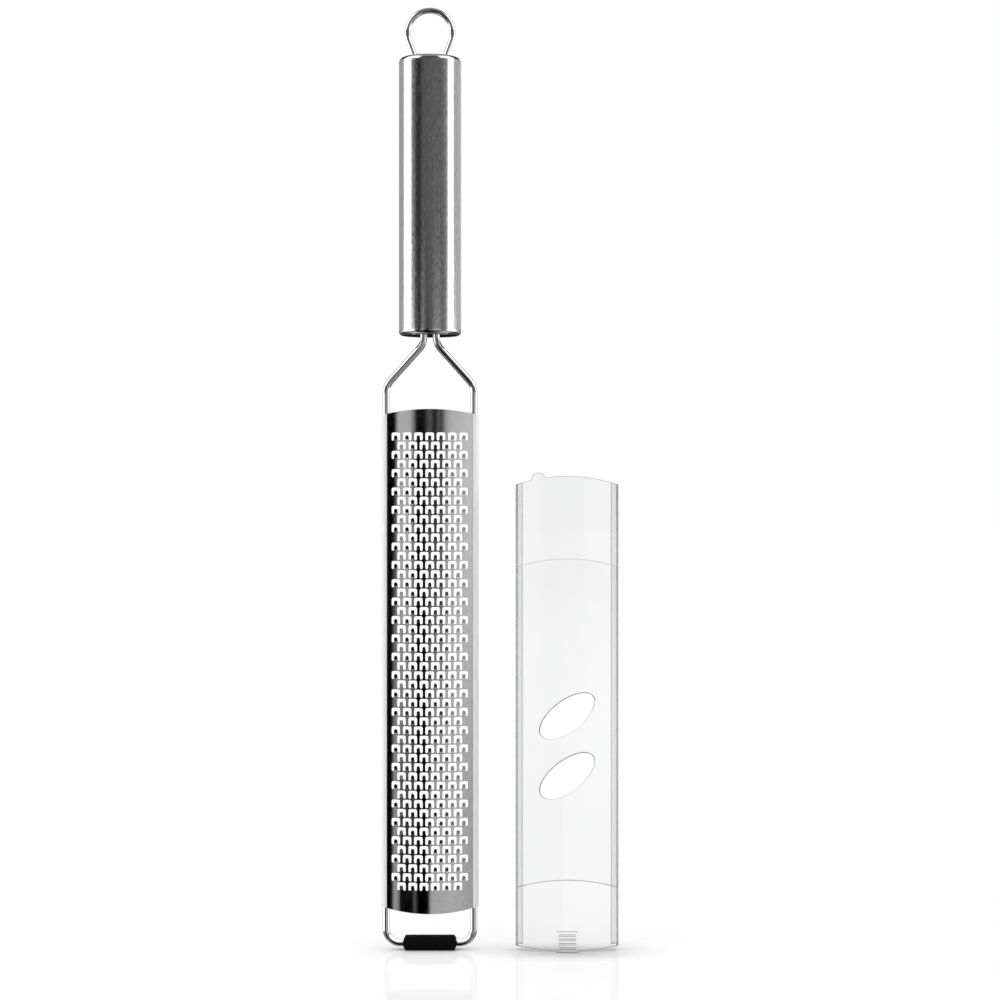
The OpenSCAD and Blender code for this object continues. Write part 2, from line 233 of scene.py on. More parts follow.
# %% [markdown]
# The table is a pale board with a low gloss. What the camera and the clear plastic see of it is mostly an
# even glow of its own, so it comes out white with no more light on the object. The rest is lit as any board
# is and keeps the contact shadows, and its colour deepens them right beside a piece. The gloss fades away
# from the grater, because further off the board would mirror the dark end of the room. The glow that the
# plastic sees fades too, until the table's far end is as bright as the panel behind it.
#
# A broad, soft light from above the camera gives the shadows a side. A small light box lies flat just above
# the table, in front of the foot. It lights nothing: it is there for the lower bow of the wire to mirror, and
# light linking, set once the wire is made, keeps it from every other piece.

# %% The table
TABLE_HALF, TABLE_Z, SHADE_REACH = 12.0, -0.00005, 0.019
GLOW_SHARE, FAR_DIMMING, GLOSS_SHARE = 0.65, 0.1, 0.14

table_look = bpy.data.materials.new("pale_table")
table_look.use_nodes = True
tree = table_look.node_tree
tree.nodes.clear()
contact = {"Color": linear("ffffff"), "Distance": SHADE_REACH}
pale = add_node(tree, "ShaderNodeAmbientOcclusion", contact, samples=8).outputs["Color"]
board = add_node(tree, "ShaderNodeBsdfDiffuse", {"Color": pale})
path_of = add_node(tree, "ShaderNodeLightPath").outputs
to_camera, to_plastic = path_of["Is Camera Ray"], path_of["Is Transmission Ray"]
looked_at = add_node(tree, "ShaderNodeMath", {0: to_camera, 1: to_plastic}, operation="MAXIMUM")
share = add_node(tree, "ShaderNodeMath", {0: looked_at, 1: GLOW_SHARE}, operation="MULTIPLY")
spot = add_node(tree, "ShaderNodeTexCoord").outputs["Object"]
away = add_node(tree, "ShaderNodeVectorMath", {0: spot}, operation="LENGTH").outputs["Value"]
dimmed = {0: to_plastic, 1: -FAR_DIMMING, 2: 1.0}
far_glow = add_node(tree, "ShaderNodeMath", dimmed, operation="MULTIPLY_ADD")
glow = add_node(tree, "ShaderNodeMapRange", {0: away, 1: 0.6, 2: 4.0, 3: 1.0, 4: far_glow})
even = add_node(tree, "ShaderNodeEmission", {"Color": pale, "Strength": glow})
board = add_node(tree, "ShaderNodeMixShader", {0: share, 1: board, 2: even})
glint = add_node(tree, "ShaderNodeBsdfGlossy", {"Roughness": 0.07})
gloss = add_node(tree, "ShaderNodeMapRange", {0: away, 1: 0.3, 2: 1.0, 3: GLOSS_SHARE, 4: 0.0})
top = add_node(tree, "ShaderNodeMixShader", {0: gloss, 1: board, 2: glint})
add_node(tree, "ShaderNodeOutputMaterial", {"Surface": top})

table_mesh = bpy.data.meshes.new("table")
corners = [(x * TABLE_HALF, y * TABLE_HALF, TABLE_Z) for x, y in ((-1, -1), (1, -1), (1, 1), (-1, 1))]
table_mesh.from_pydata(corners, [], [(0, 1, 2, 3)])
table_mesh.materials.append(table_look)
table = stand("table", table_mesh)
table.visible_glossy = False


# %% The lamps
def lamp(name, kind, energy, place, aim, **settings):
    """A lamp at a place in metres that shines along aim. Shiny surfaces mirror it only once that is set."""
    made = stand(name, bpy.data.lights.new(name, kind))
    made.location, made.visible_glossy, made.data.energy = place, False, energy
    made.rotation_euler = Vector(aim).to_track_quat("-Z", "Y").to_euler()
    for key, value in settings.items():
        setattr(made.data, key, value)
    return made


lamp("soft_sky", "SUN", 0.48, (0, 0, 0), (0.25, 0.45, -1), angle=math.radians(70))
low_box = lamp(
    "low_box", "AREA", 0.19, (0, -0.1, 0.045), (0, 0, -1), shape="RECTANGLE", size=0.16, size_y=0.32
)
low_box.visible_glossy = True
low_box.visible_diffuse = low_box.visible_transmission = low_box.visible_camera = False

# %% [markdown]
# ## The finishes
#
# All the metal here is stainless steel, and only its surface differs. The tube was ground along its length,
# so it carries fine upright lines that blur what it mirrors sideways. The wires were drawn and polished. The
# sheet is bright rolled strip with a faint grain of its own. Where its edges are formed round the wires the
# steel turns satin, and the walls of its etched openings are dull.
#
# Each pattern is set in real millimetres on object coordinates, and the finest lines are drawn a little
# coarser than they are, so that they can be seen at all.


# %% Steel finishes
def finish(name, values):
    """A new material, its nodes and its main shader, with that shader's sockets set to the values."""
    look = bpy.data.materials.new(name)
    look.use_nodes = True
    shader = look.node_tree.nodes["Principled BSDF"]
    fill(look.node_tree, shader, values)
    return look, look.node_tree, shader


def steel(name, code, roughness, line_width=0, line_length=0, depth=0.0, spread=0.0, fleck=0.0, mirror=1.0):
    """Stainless steel. With a line width in millimetres it is ground or rolled along Z, in lines that wide.

    mirror is the share of its light that it mirrors. A satin surface scatters the rest, as paint does.
    """
    values = {"Base Color": linear(code), "Metallic": mirror, "Roughness": roughness}
    look, tree, shader = finish(name, values)
    if line_width:
        place = add_node(tree, "ShaderNodeTexCoord").outputs["Object"]
        fine = [1 / (line_width * MM), 1 / (line_width * MM), 1 / (line_length * MM)]
        lines = add_node(tree, "ShaderNodeMapping", {"Vector": place, "Scale": fine})
        noise = {"Vector": lines, "Scale": 1.0, "Detail": 3.0, "Roughness": 0.6}
        grain = add_node(tree, "ShaderNodeTexNoise", noise)
        levels = {0: grain, 1: 0.3, 2: 0.7, 3: max(roughness - spread, 0.02), 4: roughness + spread}
        rough = add_node(tree, "ShaderNodeMapRange", levels)
        bump = add_node(tree, "ShaderNodeBump", {"Height": grain, "Strength": 1.0, "Distance": depth * MM})
        tone = linear(code)
        dark = [c * (1 - fleck) for c in tone[:3]] + [1]
        light = [min(c * (1 + fleck), 1) for c in tone[:3]] + [1]
        share = add_node(tree, "ShaderNodeMapRange", {0: grain, 1: 0.3, 2: 0.7})
        colour = add_node(tree, "ShaderNodeMix", {0: share, 6: dark, 7: light}, data_type="RGBA")
        fill(tree, shader, {"Roughness": rough, "Normal": bump, "Base Color": colour.outputs[2]})
    return look


ground_steel = steel("ground_stainless", "d0d0d1", 0.14, 0.3, 1.6, depth=0.004, spread=0.05, fleck=0.2)
wire_steel = steel("drawn_stainless_wire", "dcdcdd", 0.05)
strip_steel = steel("rolled_stainless_strip", "cfcfd0", 0.07, 0.35, 1.4, depth=0.001, spread=0.03, fleck=0.13)
roll_steel = steel(
    "formed_stainless_edge", "f4f4f4", 0.7, 0.4, 6, depth=0.002, spread=0.1, fleck=0.03, mirror=0.4
)
etched_steel = steel("etched_stainless_edge", "9c9c9e", 0.38)

# %% [markdown]
# The foot is moulded rubber: nearly black and matt, with the fine grain of its mould. The cover is a clear
# polystyrene moulding. It bends light strongly, so its edges draw grey lines, and it swallows a little light
# on the way, which shows where one looks along a wall and not through it. The mould is polished only on its
# faces: its parting line, the steps of the raised parts and the lips come out slightly frosted. Those faces
# also get a darker colour, a painted shade that stands in for the shade their edges draw, most on the upper
# left of each window's rim. An attribute of the mesh says where, and how much.

# %% Rubber and clear plastic
rubber, tree, shader = finish(
    "moulded_black_rubber",
    {"Base Color": linear("0a0a0b"), "Roughness": 0.72, "IOR": 1.52, "Specular IOR Level": 0.08},
)
place = add_node(tree, "ShaderNodeTexCoord").outputs["Object"]
grain = add_node(tree, "ShaderNodeTexNoise", {"Vector": place, "Scale": 1 / (0.25 * MM), "Detail": 2.0})
bump = add_node(tree, "ShaderNodeBump", {"Height": grain, "Strength": 0.6, "Distance": 0.02 * MM})
fill(tree, shader, {"Normal": bump})

clear, tree, shader = finish("clear_polystyrene", {"IOR": 1.57, "Transmission Weight": 1.0})
frost_and_shade = add_node(tree, "ShaderNodeAttribute", attribute_name="frost_and_shade").outputs["Fac"]
rough = add_node(tree, "ShaderNodeMapRange", {0: frost_and_shade, 3: 0.015, 4: 0.7})
# Frosted faces are painted darker too: the dark grey stands in for the shade that their edges draw.
tint_with_painted_shade = add_node(tree, "ShaderNodeMix", {0: frost_and_shade, 6: linear("fefefe"), 7: linear("4c4e50")}, data_type="RGBA")
fill(tree, shader, {"Base Color": tint_with_painted_shade.outputs[2], "Roughness": rough})
depth = add_node(tree, "ShaderNodeVolumeAbsorption", {"Color": linear("bcbfc2"), "Density": 125.0})
fill(tree, tree.nodes["Material Output"], {"Volume": depth})


# %% [markdown]
# ## Meshes from drawings
#
# Most pieces are a flat drawing that is turned round an axis, pushed along one or swept along a line. These
# helpers make the mesh, give it its finish and round its shading, with edges sharper than 30 degrees kept.


# %% Helpers for meshes
def piece(name, points, faces, *looks):
    """A new object from points in millimetres."""
    mesh = bpy.data.meshes.new(name)
    mesh.from_pydata([[c * MM for c in p] for p in points], [], faces)
    for look in looks:
        mesh.materials.append(look)
    made = stand(name, mesh)
    shade(made)
    return made


def shade(made, sharp=30):
    """Smooth shading, broken at edges that turn by more than the given angle."""
    made.data.shade_smooth()
    made.data.set_sharp_from_angle(angle=math.radians(sharp))


def settle(made):
    """Turns an object and its modifiers into one plain mesh."""
    graph = bpy.context.evaluated_depsgraph_get()
    mesh = bpy.data.meshes.new_from_object(
        made.evaluated_get(graph), preserve_all_data_layers=True, depsgraph=graph
    )
    made.modifiers.clear()
    made.data = mesh
    return made


def report(made):
    """Prints a piece's size in millimetres and its number of triangles."""
    made.data.calc_loop_triangles()
    corners = np.array([v.co for v in made.data.vertices]) / MM
    size = corners.max(0) - corners.min(0)
    print(made.name, "mm", size.round(2).tolist(), "triangles", len(made.data.loop_triangles))


def arc(centre, radius, start, end, steps):
    """Points on an arc between two angles in degrees."""
    angles = np.radians(np.linspace(start, end, steps + 1))
    return [(centre[0] + radius * math.cos(a), centre[1] + radius * math.sin(a)) for a in angles]


TURN_STEPS = 160


def turned(name, profile, look):
    """A closed drawing of radius and height, turned round the Z axis."""
    points, faces = [], []
    count = len(profile)
    for i in range(TURN_STEPS):
        angle = 2 * math.pi * i / TURN_STEPS
        points += [(r * math.cos(angle), r * math.sin(angle), z) for r, z in profile]
        after = (i + 1) % TURN_STEPS
        for j in range(count):
            k = (j + 1) % count
            faces.append((i * count + j, after * count + j, after * count + k, i * count + k))
    return piece(name, points, faces, look)


# %% [markdown]
# ## The handle
#
# The handle is a drawn tube with a pressed cap in each end. Each cap has a rounded rim, and where cap and
# tube meet there is a fine seam. The tube gets a tiny break on its two edges, because a real edge is never
# perfectly sharp and that break is what makes the seam readable.

# %% Tube and caps
SEAM, RIM_R, PLATE_T, COLLAR_T, COLLAR_LEN, COLLAR_PLAY, POLE_R = 0.06, 1.6, 1.0, 0.8, 4.0, 0.05, 0.001
tube_low, tube_high = HANDLE_Z + CAP_H, HANDLE_TOP - CAP_H
bore_r = HANDLE_R - TUBE_WALL
tube = turned(
    "handle_sleeve",
    [(HANDLE_R, tube_low + SEAM), (HANDLE_R, tube_high - SEAM), (HANDLE_R - SEAM, tube_high),
     (bore_r, tube_high), (bore_r, tube_low), (HANDLE_R - SEAM, tube_low)],
    ground_steel,
)
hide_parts("handle_tube")


def cap(name, seam_z, up):
    """An end cap with its collar in the tube. up is 1 for the upper cap and -1 for the lower one."""
    under, collar_r = CAP_H - PLATE_T, bore_r - COLLAR_PLAY
    profile = [(HANDLE_R - SEAM, 0), (HANDLE_R, SEAM)]
    profile += arc((HANDLE_R - RIM_R, CAP_H - RIM_R), RIM_R, 0, 90, 14)
    profile += [(POLE_R, CAP_H), (POLE_R, under), (collar_r - COLLAR_T, under)]
    profile += [(collar_r - COLLAR_T, -COLLAR_LEN), (collar_r, -COLLAR_LEN), (collar_r, 0)]
    profile = [(r, seam_z + up * z) for r, z in profile]
    return turned(name, profile if up > 0 else profile[::-1], ground_steel)


upper_cap = cap("cap_upper", tube_high, 1)
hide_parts("top_cap")
lower_cap = cap("cap_lower", tube_low, -1)
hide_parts("bottom_cap")
for made in (tube, upper_cap, lower_cap):
    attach(made, "grater")
    report(made)

# %% [markdown]
# ## The bent wires
#
# A wire follows a path, so Geometry Nodes suit it well. The path is a line of corner points, and each point
# says how wide its bend is. The tree rounds the corners, sweeps a circle along the line and closes the ends.
# A wire bender works from the same list: straight length, bend radius, angle.


# %% A tree that bends and sweeps a wire
def new_tree(name, sockets):
    """An empty tree with a geometry input and output and the given named inputs."""
    made = bpy.data.node_groups.new(name, "GeometryNodeTree")
    made.interface.new_socket("Geometry", in_out="INPUT", socket_type="NodeSocketGeometry")
    for label, kind in sockets.items():
        made.interface.new_socket(label, in_out="INPUT", socket_type="NodeSocket" + kind)
    made.interface.new_socket("Geometry", in_out="OUTPUT", socket_type="NodeSocketGeometry")
    return made


def grow(made, tree, values):
    """Puts a tree on an object. Each input is set by its socket's identifier."""
    modifier = made.modifiers.new(tree.name, "NODES")
    modifier.node_group = tree
    for item in tree.interface.items_tree:
        if item.in_out == "INPUT" and item.name in values:
            modifier[item.identifier] = values[item.name]


def close_tree(tree, given, shape):
    """Ends a tree with real geometry in its material, because instances aren't exported."""
    solid = add_node(tree, "GeometryNodeRealizeInstances", {0: shape})
    dressed = add_node(tree, "GeometryNodeSetMaterial", {"Geometry": solid, "Material": given["Material"]})
    add_node(tree, "NodeGroupOutput", {0: dressed})


WIRE_SIDES, BEND_STEPS = 32, 20
wire_tree = new_tree(
    "bent_wire", {"Wire diameter": "Float", "Steps in a bend": "Int", "Material": "Material"}
)
given = add_node(wire_tree, "NodeGroupInput").outputs
path = add_node(wire_tree, "GeometryNodeMeshToCurve", {0: given["Geometry"]})
bend = add_node(wire_tree, "GeometryNodeInputNamedAttribute", {"Name": "bend"}, data_type="FLOAT")
rounded = add_node(
    wire_tree,
    "GeometryNodeFilletCurve",
    {"Curve": path, "Radius": bend, "Limit Radius": True, "Count": given["Steps in a bend"]},
    mode="POLY",
)
half = add_node(wire_tree, "ShaderNodeMath", {0: given["Wire diameter"], 1: 0.5}, operation="MULTIPLY")
ring = add_node(wire_tree, "GeometryNodeCurvePrimitiveCircle", {"Resolution": WIRE_SIDES, "Radius": half})
sweep = {"Curve": rounded, "Profile Curve": ring, "Fill Caps": True}
close_tree(wire_tree, given, add_node(wire_tree, "GeometryNodeCurveToMesh", sweep))


def wire(name, corners, diameter):
    """A wire through corner points of x, z and bend radius, in the plane of the frame."""
    made = piece(name, [(x, 0, z) for x, z, r in corners], [])
    made.data.edges.add(len(corners) - 1)
    for i, edge in enumerate(made.data.edges):
        edge.vertices = (i, i + 1)
    bends = made.data.attributes.new("bend", "FLOAT", "POINT")
    bends.data.foreach_set("value", [r * MM for x, z, r in corners])
    inputs = {"Wire diameter": diameter * MM, "Steps in a bend": BEND_STEPS, "Material": wire_steel}
    grow(made, wire_tree, inputs)
    shade(settle(made), 40)
    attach(made, "grater")
    report(made)
    return made


# %% Frame wire and hanging loop
frame_half = [
    (LEG_X, HANDLE_Z + LEG_IN, 0), (LEG_X, NECK_Z, NECK_R), (WIRE_X, SHOULDER_Z, SHOULDER_R),
    (WIRE_X, CROSSBAR_Z, CORNER_R),
]
frame_wire = wire("frame_wire", frame_half + [(-x, z, r) for x, z, r in frame_half[::-1]], WIRE_D)
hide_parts("wire_frame")
in_low_box = bpy.data.collections.new("mirrors_low_box")
in_low_box.objects.link(frame_wire)
low_box.light_linking.receiver_collection = in_low_box

loop_z = HANDLE_TOP + LOOP_RISE
reach = math.hypot(LOOP_LEG_X, LOOP_RISE)
start = math.degrees(math.acos(LOOP_R / reach) - math.atan2(LOOP_RISE, LOOP_LEG_X))
leg = math.sqrt(reach**2 - LOOP_R**2) + LOOP_LEG_IN
ring_points = arc((0, loop_z), LOOP_R, start, 180 - start, 64)
down = (math.sin(math.radians(start)), -math.cos(math.radians(start)))
foot_of_leg = (ring_points[0][0] + leg * down[0], ring_points[0][1] + leg * down[1])
loop_line = [foot_of_leg] + ring_points + [(-foot_of_leg[0], foot_of_leg[1])]
loop = wire("loop_wire", [(x, z, 0) for x, z in loop_line], LOOP_WIRE_D)
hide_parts("hanging_loop")

# %% [markdown]
# ## The blade
#
# The blade is where the skill is. A mask is printed on flat strip, acid eats the horseshoe openings through,
# and the tongue that each one leaves is bent out, so that its etched edge cuts. Then the strip is crowned
# over its whole length. The same order works here: draw one flat tile with its opening and tongue, repeat it
# over staggered rows, weld the tiles to the plain margins, bend the whole sheet round the crown's axis and
# give it its thickness last.

# %% Sizes of the blade
SHEET_T, CROWN, BLADE_LEN, BLADE_LIFT, TOP_ARCH, BOTTOM_ARCH = 0.4, 2.8, 177.5, 13.1, 2.3, 2.5
ROWS, COLUMNS, PITCH, ROW_PITCH = 50, 7, 4.0, 3.23
OPENING_W, OPENING_TOP, OPENING_LOW, OPENING_R, TOOTH_W, TOOTH_LEN = 3.1, 1.38, -1.475, 0.6, 1.15, 1.8
TOOTH_LIFT, TOOTH_REACH, WIRE_PLAY, CREASE_IN = math.radians(18), 1.9, 0.05, 0.25
TOOTH_RISE = TOOTH_REACH * math.sin(TOOTH_LIFT)
ROLL_BORE_R = WIRE_D / 2 + WIRE_PLAY
ROLL_R = ROLL_BORE_R + SHEET_T
CROWN_R = (WIRE_X**2 + CROWN**2) / (2 * CROWN)
CROWN_Y = ROLL_R - SHEET_T / 4 + CROWN
BLADE_TOP = BLADE_LIFT + BLADE_LEN
PATTERN_Z = (BLADE_LIFT + BLADE_TOP) / 2
TOP_ROW_Z = PATTERN_Z + (ROWS - 1) / 2 * ROW_PITCH
OUTLINE_HALF = WIRE_X + ROLL_R + 1


def dropped(x, sag, half):
    """How far an arc has dropped at x, when it drops by its sag over half its width."""
    radius = (half**2 + sag**2) / (2 * sag)
    return radius - math.sqrt(radius**2 - x**2)


# %% One flat tile with its opening and tongue
def inside(point, outline):
    """Whether a point lies in a closed outline."""
    x, y = point
    hit = False
    for (ax, ay), (bx, by) in zip(outline, outline[1:] + outline[:1]):
        if (ay > y) != (by > y) and x < (bx - ax) * (y - ay) / (by - ay) + ax:
            hit = not hit
    return hit


def mean(points):
    """Middle of some points in the plane."""
    return sum(points, Vector((0, 0))) / len(points)


side, top = OPENING_W / 2, OPENING_TOP
root = TOOTH_W / 2
slot_r = (side - root) / 2
slot_x, slot_z = root + slot_r, slot_r + OPENING_LOW
tip_z = slot_z + (TOOTH_LEN - slot_r) * math.cos(TOOTH_LIFT)
right = arc((side - OPENING_R, top - OPENING_R), OPENING_R, 0, 90, 4)
low = arc((slot_x, slot_z), slot_r, 180, 360, 6)
tongue = arc((0, tip_z - root), root, 180, 0, 6)
opening = right + [(-x, z) for x, z in right[::-1]]
opening += [(-x, z) for x, z in low[::-1]] + tongue + low
tile_half, tile_top = PITCH / 2, ROW_PITCH / 2
edge_x = [i * tile_half / 2 for i in (-2, -1, 0, 1, 2)]
rim = [(x, -tile_top) for x in edge_x] + [(x, tile_top) for x in edge_x[::-1]]
flat = [Vector(p) for p in opening + rim]
n_open, n_rim = len(opening), len(rim)
edges = [(i, (i + 1) % n_open) for i in range(n_open)]
edges += [(n_open + i, n_open + (i + 1) % n_rim) for i in range(n_rim)]
left_root, right_root = opening.index(tongue[0]), opening.index(tongue[-1])
edges.append((left_root, right_root))
tile_points, _, tile_faces, *_ = delaunay_2d_cdt(flat, edges, [], 0, 1e-5)
tile_faces = [list(f) for f in tile_faces if not inside(mean([tile_points[i] for i in f]), opening)]
raised = set(range(left_root, right_root + 1))


def lifted(number, point):
    """A tile's point in space, bent out where it belongs to the tongue."""
    reach = point.y - slot_z if number in raised else 0
    return (point.x, -reach * math.tan(TOOTH_LIFT), point.y)


def face_front(made):
    """Turns the faces of a flat sheet towards the camera."""
    if made.data.polygons[0].normal.y > 0:
        made.data.flip_normals()


tile = piece("tile", [lifted(i, p) for i, p in enumerate(tile_points)], tile_faces, strip_steel)
face_front(tile)
print("one tile:", len(tile_points), "points,", len(tile_faces), "faces")

# %% [markdown]
# The margins are plain sheet. Their points lie on the same one-millimetre steps as the tiles' edges, so the
# two can be welded. Every second row has one tooth less, and a plain patch fills each of its ends.

# %% Plain margins round the teeth
crease_x, pattern_x = WIRE_X - CREASE_IN, COLUMNS * PITCH / 2
margin_x = (crease_x + pattern_x) / 2
steps_x = [i * tile_half / 2 for i in range(-2 * COLUMNS, 2 * COLUMNS + 1)]
lines_x = [-crease_x, -margin_x] + steps_x + [margin_x, crease_x]
end_x = [pattern_x, pattern_x - tile_half / 2, pattern_x - tile_half]
rows_z = [TOP_ROW_Z + tile_top - i * ROW_PITCH for i in range(ROWS + 1)]
points, faces = [], []


def patch(columns, heights):
    """Adds a grid of plain faces. heights gives, for each x, its levels from the lowest up."""
    first = len(points)
    for x in columns:
        points.extend((x, 0, z) for z in heights(x))
    count = len(heights(columns[0]))
    for i in range(len(columns) - 1):
        for j in range(count - 1):
            a = first + i * count + j
            faces.append((a, a + count, a + count + 1, a + 1))


patch(lines_x, lambda x: np.linspace(rows_z[0], BLADE_TOP - dropped(x, TOP_ARCH, OUTLINE_HALF), 5))
patch(lines_x, lambda x: np.linspace(BLADE_LIFT + dropped(x, BOTTOM_ARCH, OUTLINE_HALF), rows_z[-1], 5))
for sign in (-1, 1):
    for strip in (lines_x[:3], lines_x[-3:]):
        if sign * strip[0] > 0:
            patch(strip, lambda x: rows_z[::-1])
    for row in range(1, ROWS, 2):
        patch(sorted(sign * x for x in end_x), lambda x: [rows_z[row + 1], rows_z[row]])
margins = piece("blade_sheet", points, faces, strip_steel, etched_steel)
face_front(margins)

# %% [markdown]
# The tree numbers the tiles and works out each one's place, leaves out the spare tile of every second row,
# and then bends all that is flat round the crown's axis. Its sums stand in one list: what each is called, the
# operation, and what goes into it.

# %% A tree that sets the rows of teeth and bends the sheet
teeth_tree = new_tree(
    "rows_of_teeth",
    {"Tile": "Object", "Rows": "Int", "Columns": "Int", "Column pitch": "Float", "Row pitch": "Float",
     "Top row": "Float", "Crown radius": "Float", "Crown height": "Float", "Material": "Material"},
)
given = add_node(teeth_tree, "NodeGroupInput").outputs
position = add_node(teeth_tree, "GeometryNodeInputPosition")
here = add_node(teeth_tree, "ShaderNodeSeparateXYZ", {0: position}).outputs
values = dict(given.items())
values.update(index=add_node(teeth_tree, "GeometryNodeInputIndex"), x=here["X"], y=here["Y"])
for name, operation, *terms in (
    ("count", "MULTIPLY", "Rows", "Columns"),
    ("rows before", "DIVIDE", "index", "Columns"),
    ("row", "FLOOR", "rows before"),
    ("row start", "MULTIPLY", "row", "Columns"),
    ("column", "SUBTRACT", "index", "row start"),
    ("odd", "MODULO", "row", 2.0),
    ("stagger", "MULTIPLY", "odd", 0.5),
    ("from left", "ADD", "column", "stagger"),
    ("last", "SUBTRACT", "Columns", 1.0),
    ("middle", "MULTIPLY", "last", 0.5),
    ("across", "SUBTRACT", "from left", "middle"),
    ("tile x", "MULTIPLY", "across", "Column pitch"),
    ("drop", "MULTIPLY", "row", "Row pitch"),
    ("tile z", "SUBTRACT", "Top row", "drop"),
    ("is last", "COMPARE", "column", "last", 0.1),
    ("spare", "MULTIPLY", "odd", "is last"),
    ("sine", "DIVIDE", "x", "Crown radius"),
    ("angle", "ARCSINE", "sine"),
    ("cosine", "COSINE", "angle"),
    ("radius", "SUBTRACT", "Crown radius", "y"),
    ("back", "SUBTRACT", "Crown radius", "Crown height"),
    ("bent x", "MULTIPLY", "radius", "sine"),
    ("forward", "MULTIPLY", "radius", "cosine"),
    ("bent y", "SUBTRACT", "back", "forward"),
):
    inputs = {i: values[term] if isinstance(term, str) else term for i, term in enumerate(terms)}
    values[name] = add_node(teeth_tree, "ShaderNodeMath", inputs, operation=operation)

place = add_node(teeth_tree, "ShaderNodeCombineXYZ", {"X": values["tile x"], "Z": values["tile z"]})
spots = add_node(teeth_tree, "GeometryNodePoints", {"Count": values["count"], "Position": place})
spare = {"Geometry": spots, "Selection": values["spare"]}
kept = add_node(teeth_tree, "GeometryNodeDeleteGeometry", spare, domain="POINT")
shape = add_node(teeth_tree, "GeometryNodeObjectInfo", {"Object": given["Tile"]}, transform_space="ORIGINAL")
tiles = {"Points": kept, "Instance": shape.outputs["Geometry"]}
rows = add_node(teeth_tree, "GeometryNodeInstanceOnPoints", tiles)
real = add_node(teeth_tree, "GeometryNodeRealizeInstances", {0: rows})
sheet = add_node(teeth_tree, "GeometryNodeJoinGeometry", {0: real})
teeth_tree.links.new(given["Geometry"], sheet.inputs[0])
welded = add_node(teeth_tree, "GeometryNodeMergeByDistance", {"Geometry": sheet, "Distance": 0.02 * MM})
curve = {"X": values["bent x"], "Y": values["bent y"], "Z": here["Z"]}
bent = add_node(teeth_tree, "ShaderNodeCombineXYZ", curve)
crowned = add_node(teeth_tree, "GeometryNodeSetPosition", {"Geometry": welded, "Position": bent})
close_tree(teeth_tree, given, crowned)

# %% Grow the blade and give it its thickness
blade = margins
grow(
    blade,
    teeth_tree,
    {"Tile": tile, "Rows": ROWS, "Columns": COLUMNS, "Column pitch": PITCH * MM, "Row pitch": ROW_PITCH * MM,
     "Top row": TOP_ROW_Z * MM, "Crown radius": CROWN_R * MM, "Crown height": CROWN_Y * MM,
     "Material": strip_steel},
)
thickness = blade.modifiers.new("thickness", "SOLIDIFY")
thickness.thickness = SHEET_T * MM
thickness.offset = -1
thickness.material_offset_rim = 1
settle(blade)
if len(blade.data.materials) < 2:
    blade.data.materials.append(etched_steel)
bpy.data.objects.remove(tile)

# %% [markdown]
# Long thin triangles shade badly, because each smooth normal is only a mean of its neighbours. On the blade
# the true normal is known: it points away from the crown's axis. So it is written into the mesh, and the
# sheet mirrors the room as evenly as real strip does. Tongues and etched walls keep their own flat normals.

# %% True normals for the crowned sheet
mesh = blade.data
mesh.shade_smooth()
axis_y = (CROWN_R - CROWN_Y) * MM
near = 0.03
normals = []
for face in mesh.polygons:
    spots = [mesh.vertices[i].co for i in face.vertices]
    reach = [math.hypot(p.x, p.y - axis_y) / MM for p in spots]
    outer = all(abs(r - CROWN_R) < near for r in reach)
    inner = all(abs(r - CROWN_R + SHEET_T) < near for r in reach)
    for p in spots:
        if face.material_index == 0 and (outer or inner):
            normals.append(Vector((p.x, p.y - axis_y, 0)).normalized() * (1 if outer else -1))
        else:
            normals.append(face.normal.copy())
mesh.normals_split_custom_set(normals)
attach(blade, "grater")
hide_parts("blade")
report(blade)

# %% [markdown]
# Each long edge of the sheet is rolled round the frame's wire. Seen from behind, a slit stays open between
# the roll's lip and the sheet. The roll is one drawing of its section, pushed along the wire, with its ends
# trimmed to the blade's arched outline.


# %% The rolled edges
ROLL_START, ROLL_END, ROLL_STEPS = -98.5, 155, 48


def roll(side):
    """Points and faces of the edge rolled round one side wire."""
    outer = arc((0, 0), ROLL_R, ROLL_START, ROLL_END, ROLL_STEPS)
    inner = arc((0, 0), ROLL_BORE_R, ROLL_END, ROLL_START, ROLL_STEPS)
    section = [(side * (WIRE_X + x), y) for x, y in outer + inner]
    count = len(section)
    made = [(x, y, BLADE_LIFT + dropped(x, BOTTOM_ARCH, OUTLINE_HALF)) for x, y in section]
    made += [(x, y, BLADE_TOP - dropped(x, TOP_ARCH, OUTLINE_HALF)) for x, y in section]
    walls = [(i, (i + 1) % count, count + (i + 1) % count, count + i) for i in range(count)]
    for level in (0, count):
        for i in range(ROLL_STEPS):
            ring_face = (level + i, level + i + 1, level + count - 2 - i, level + count - 1 - i)
            walls.append(ring_face[::-1] if level == 0 else ring_face)
    return made, walls if side > 0 else [w[::-1] for w in walls]


right_points, right_walls = roll(1)
left_points, left_walls = roll(-1)
shift = len(right_points)
rolls = piece(
    "blade_rolled_edges",
    right_points + left_points,
    right_walls + [tuple(i + shift for i in w) for w in left_walls],
    roll_steel,
)
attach(rolls, "grater")
report(rolls)


# %% [markdown]
# ## The rubber foot
#
# A plain moulded block is easiest to read as two drawings that are pushed through each other. The foot is the
# space that its front view and its side view share, and every edge of it is softened, as a mould softens it.


# %% A drawing pushed both ways
def prism(name, outline, axis, reach):
    """A closed outline pushed both ways along one axis: X takes y and z, Y takes x and z."""
    count = len(outline)
    points = [(d, a, b) if axis == "X" else (a, d, b) for d in (-reach, reach) for a, b in outline]
    faces = [tuple(range(count))[::-1], tuple(range(count, 2 * count))]
    faces += [(i, (i + 1) % count, count + (i + 1) % count, count + i) for i in range(count)]
    area = sum(a[0] * b[1] - b[0] * a[1] for a, b in zip(outline, outline[1:] + outline[:1]))
    if (area > 0) == (axis == "Y"):
        faces = [f[::-1] for f in faces]
    return piece(name, points, faces, rubber)


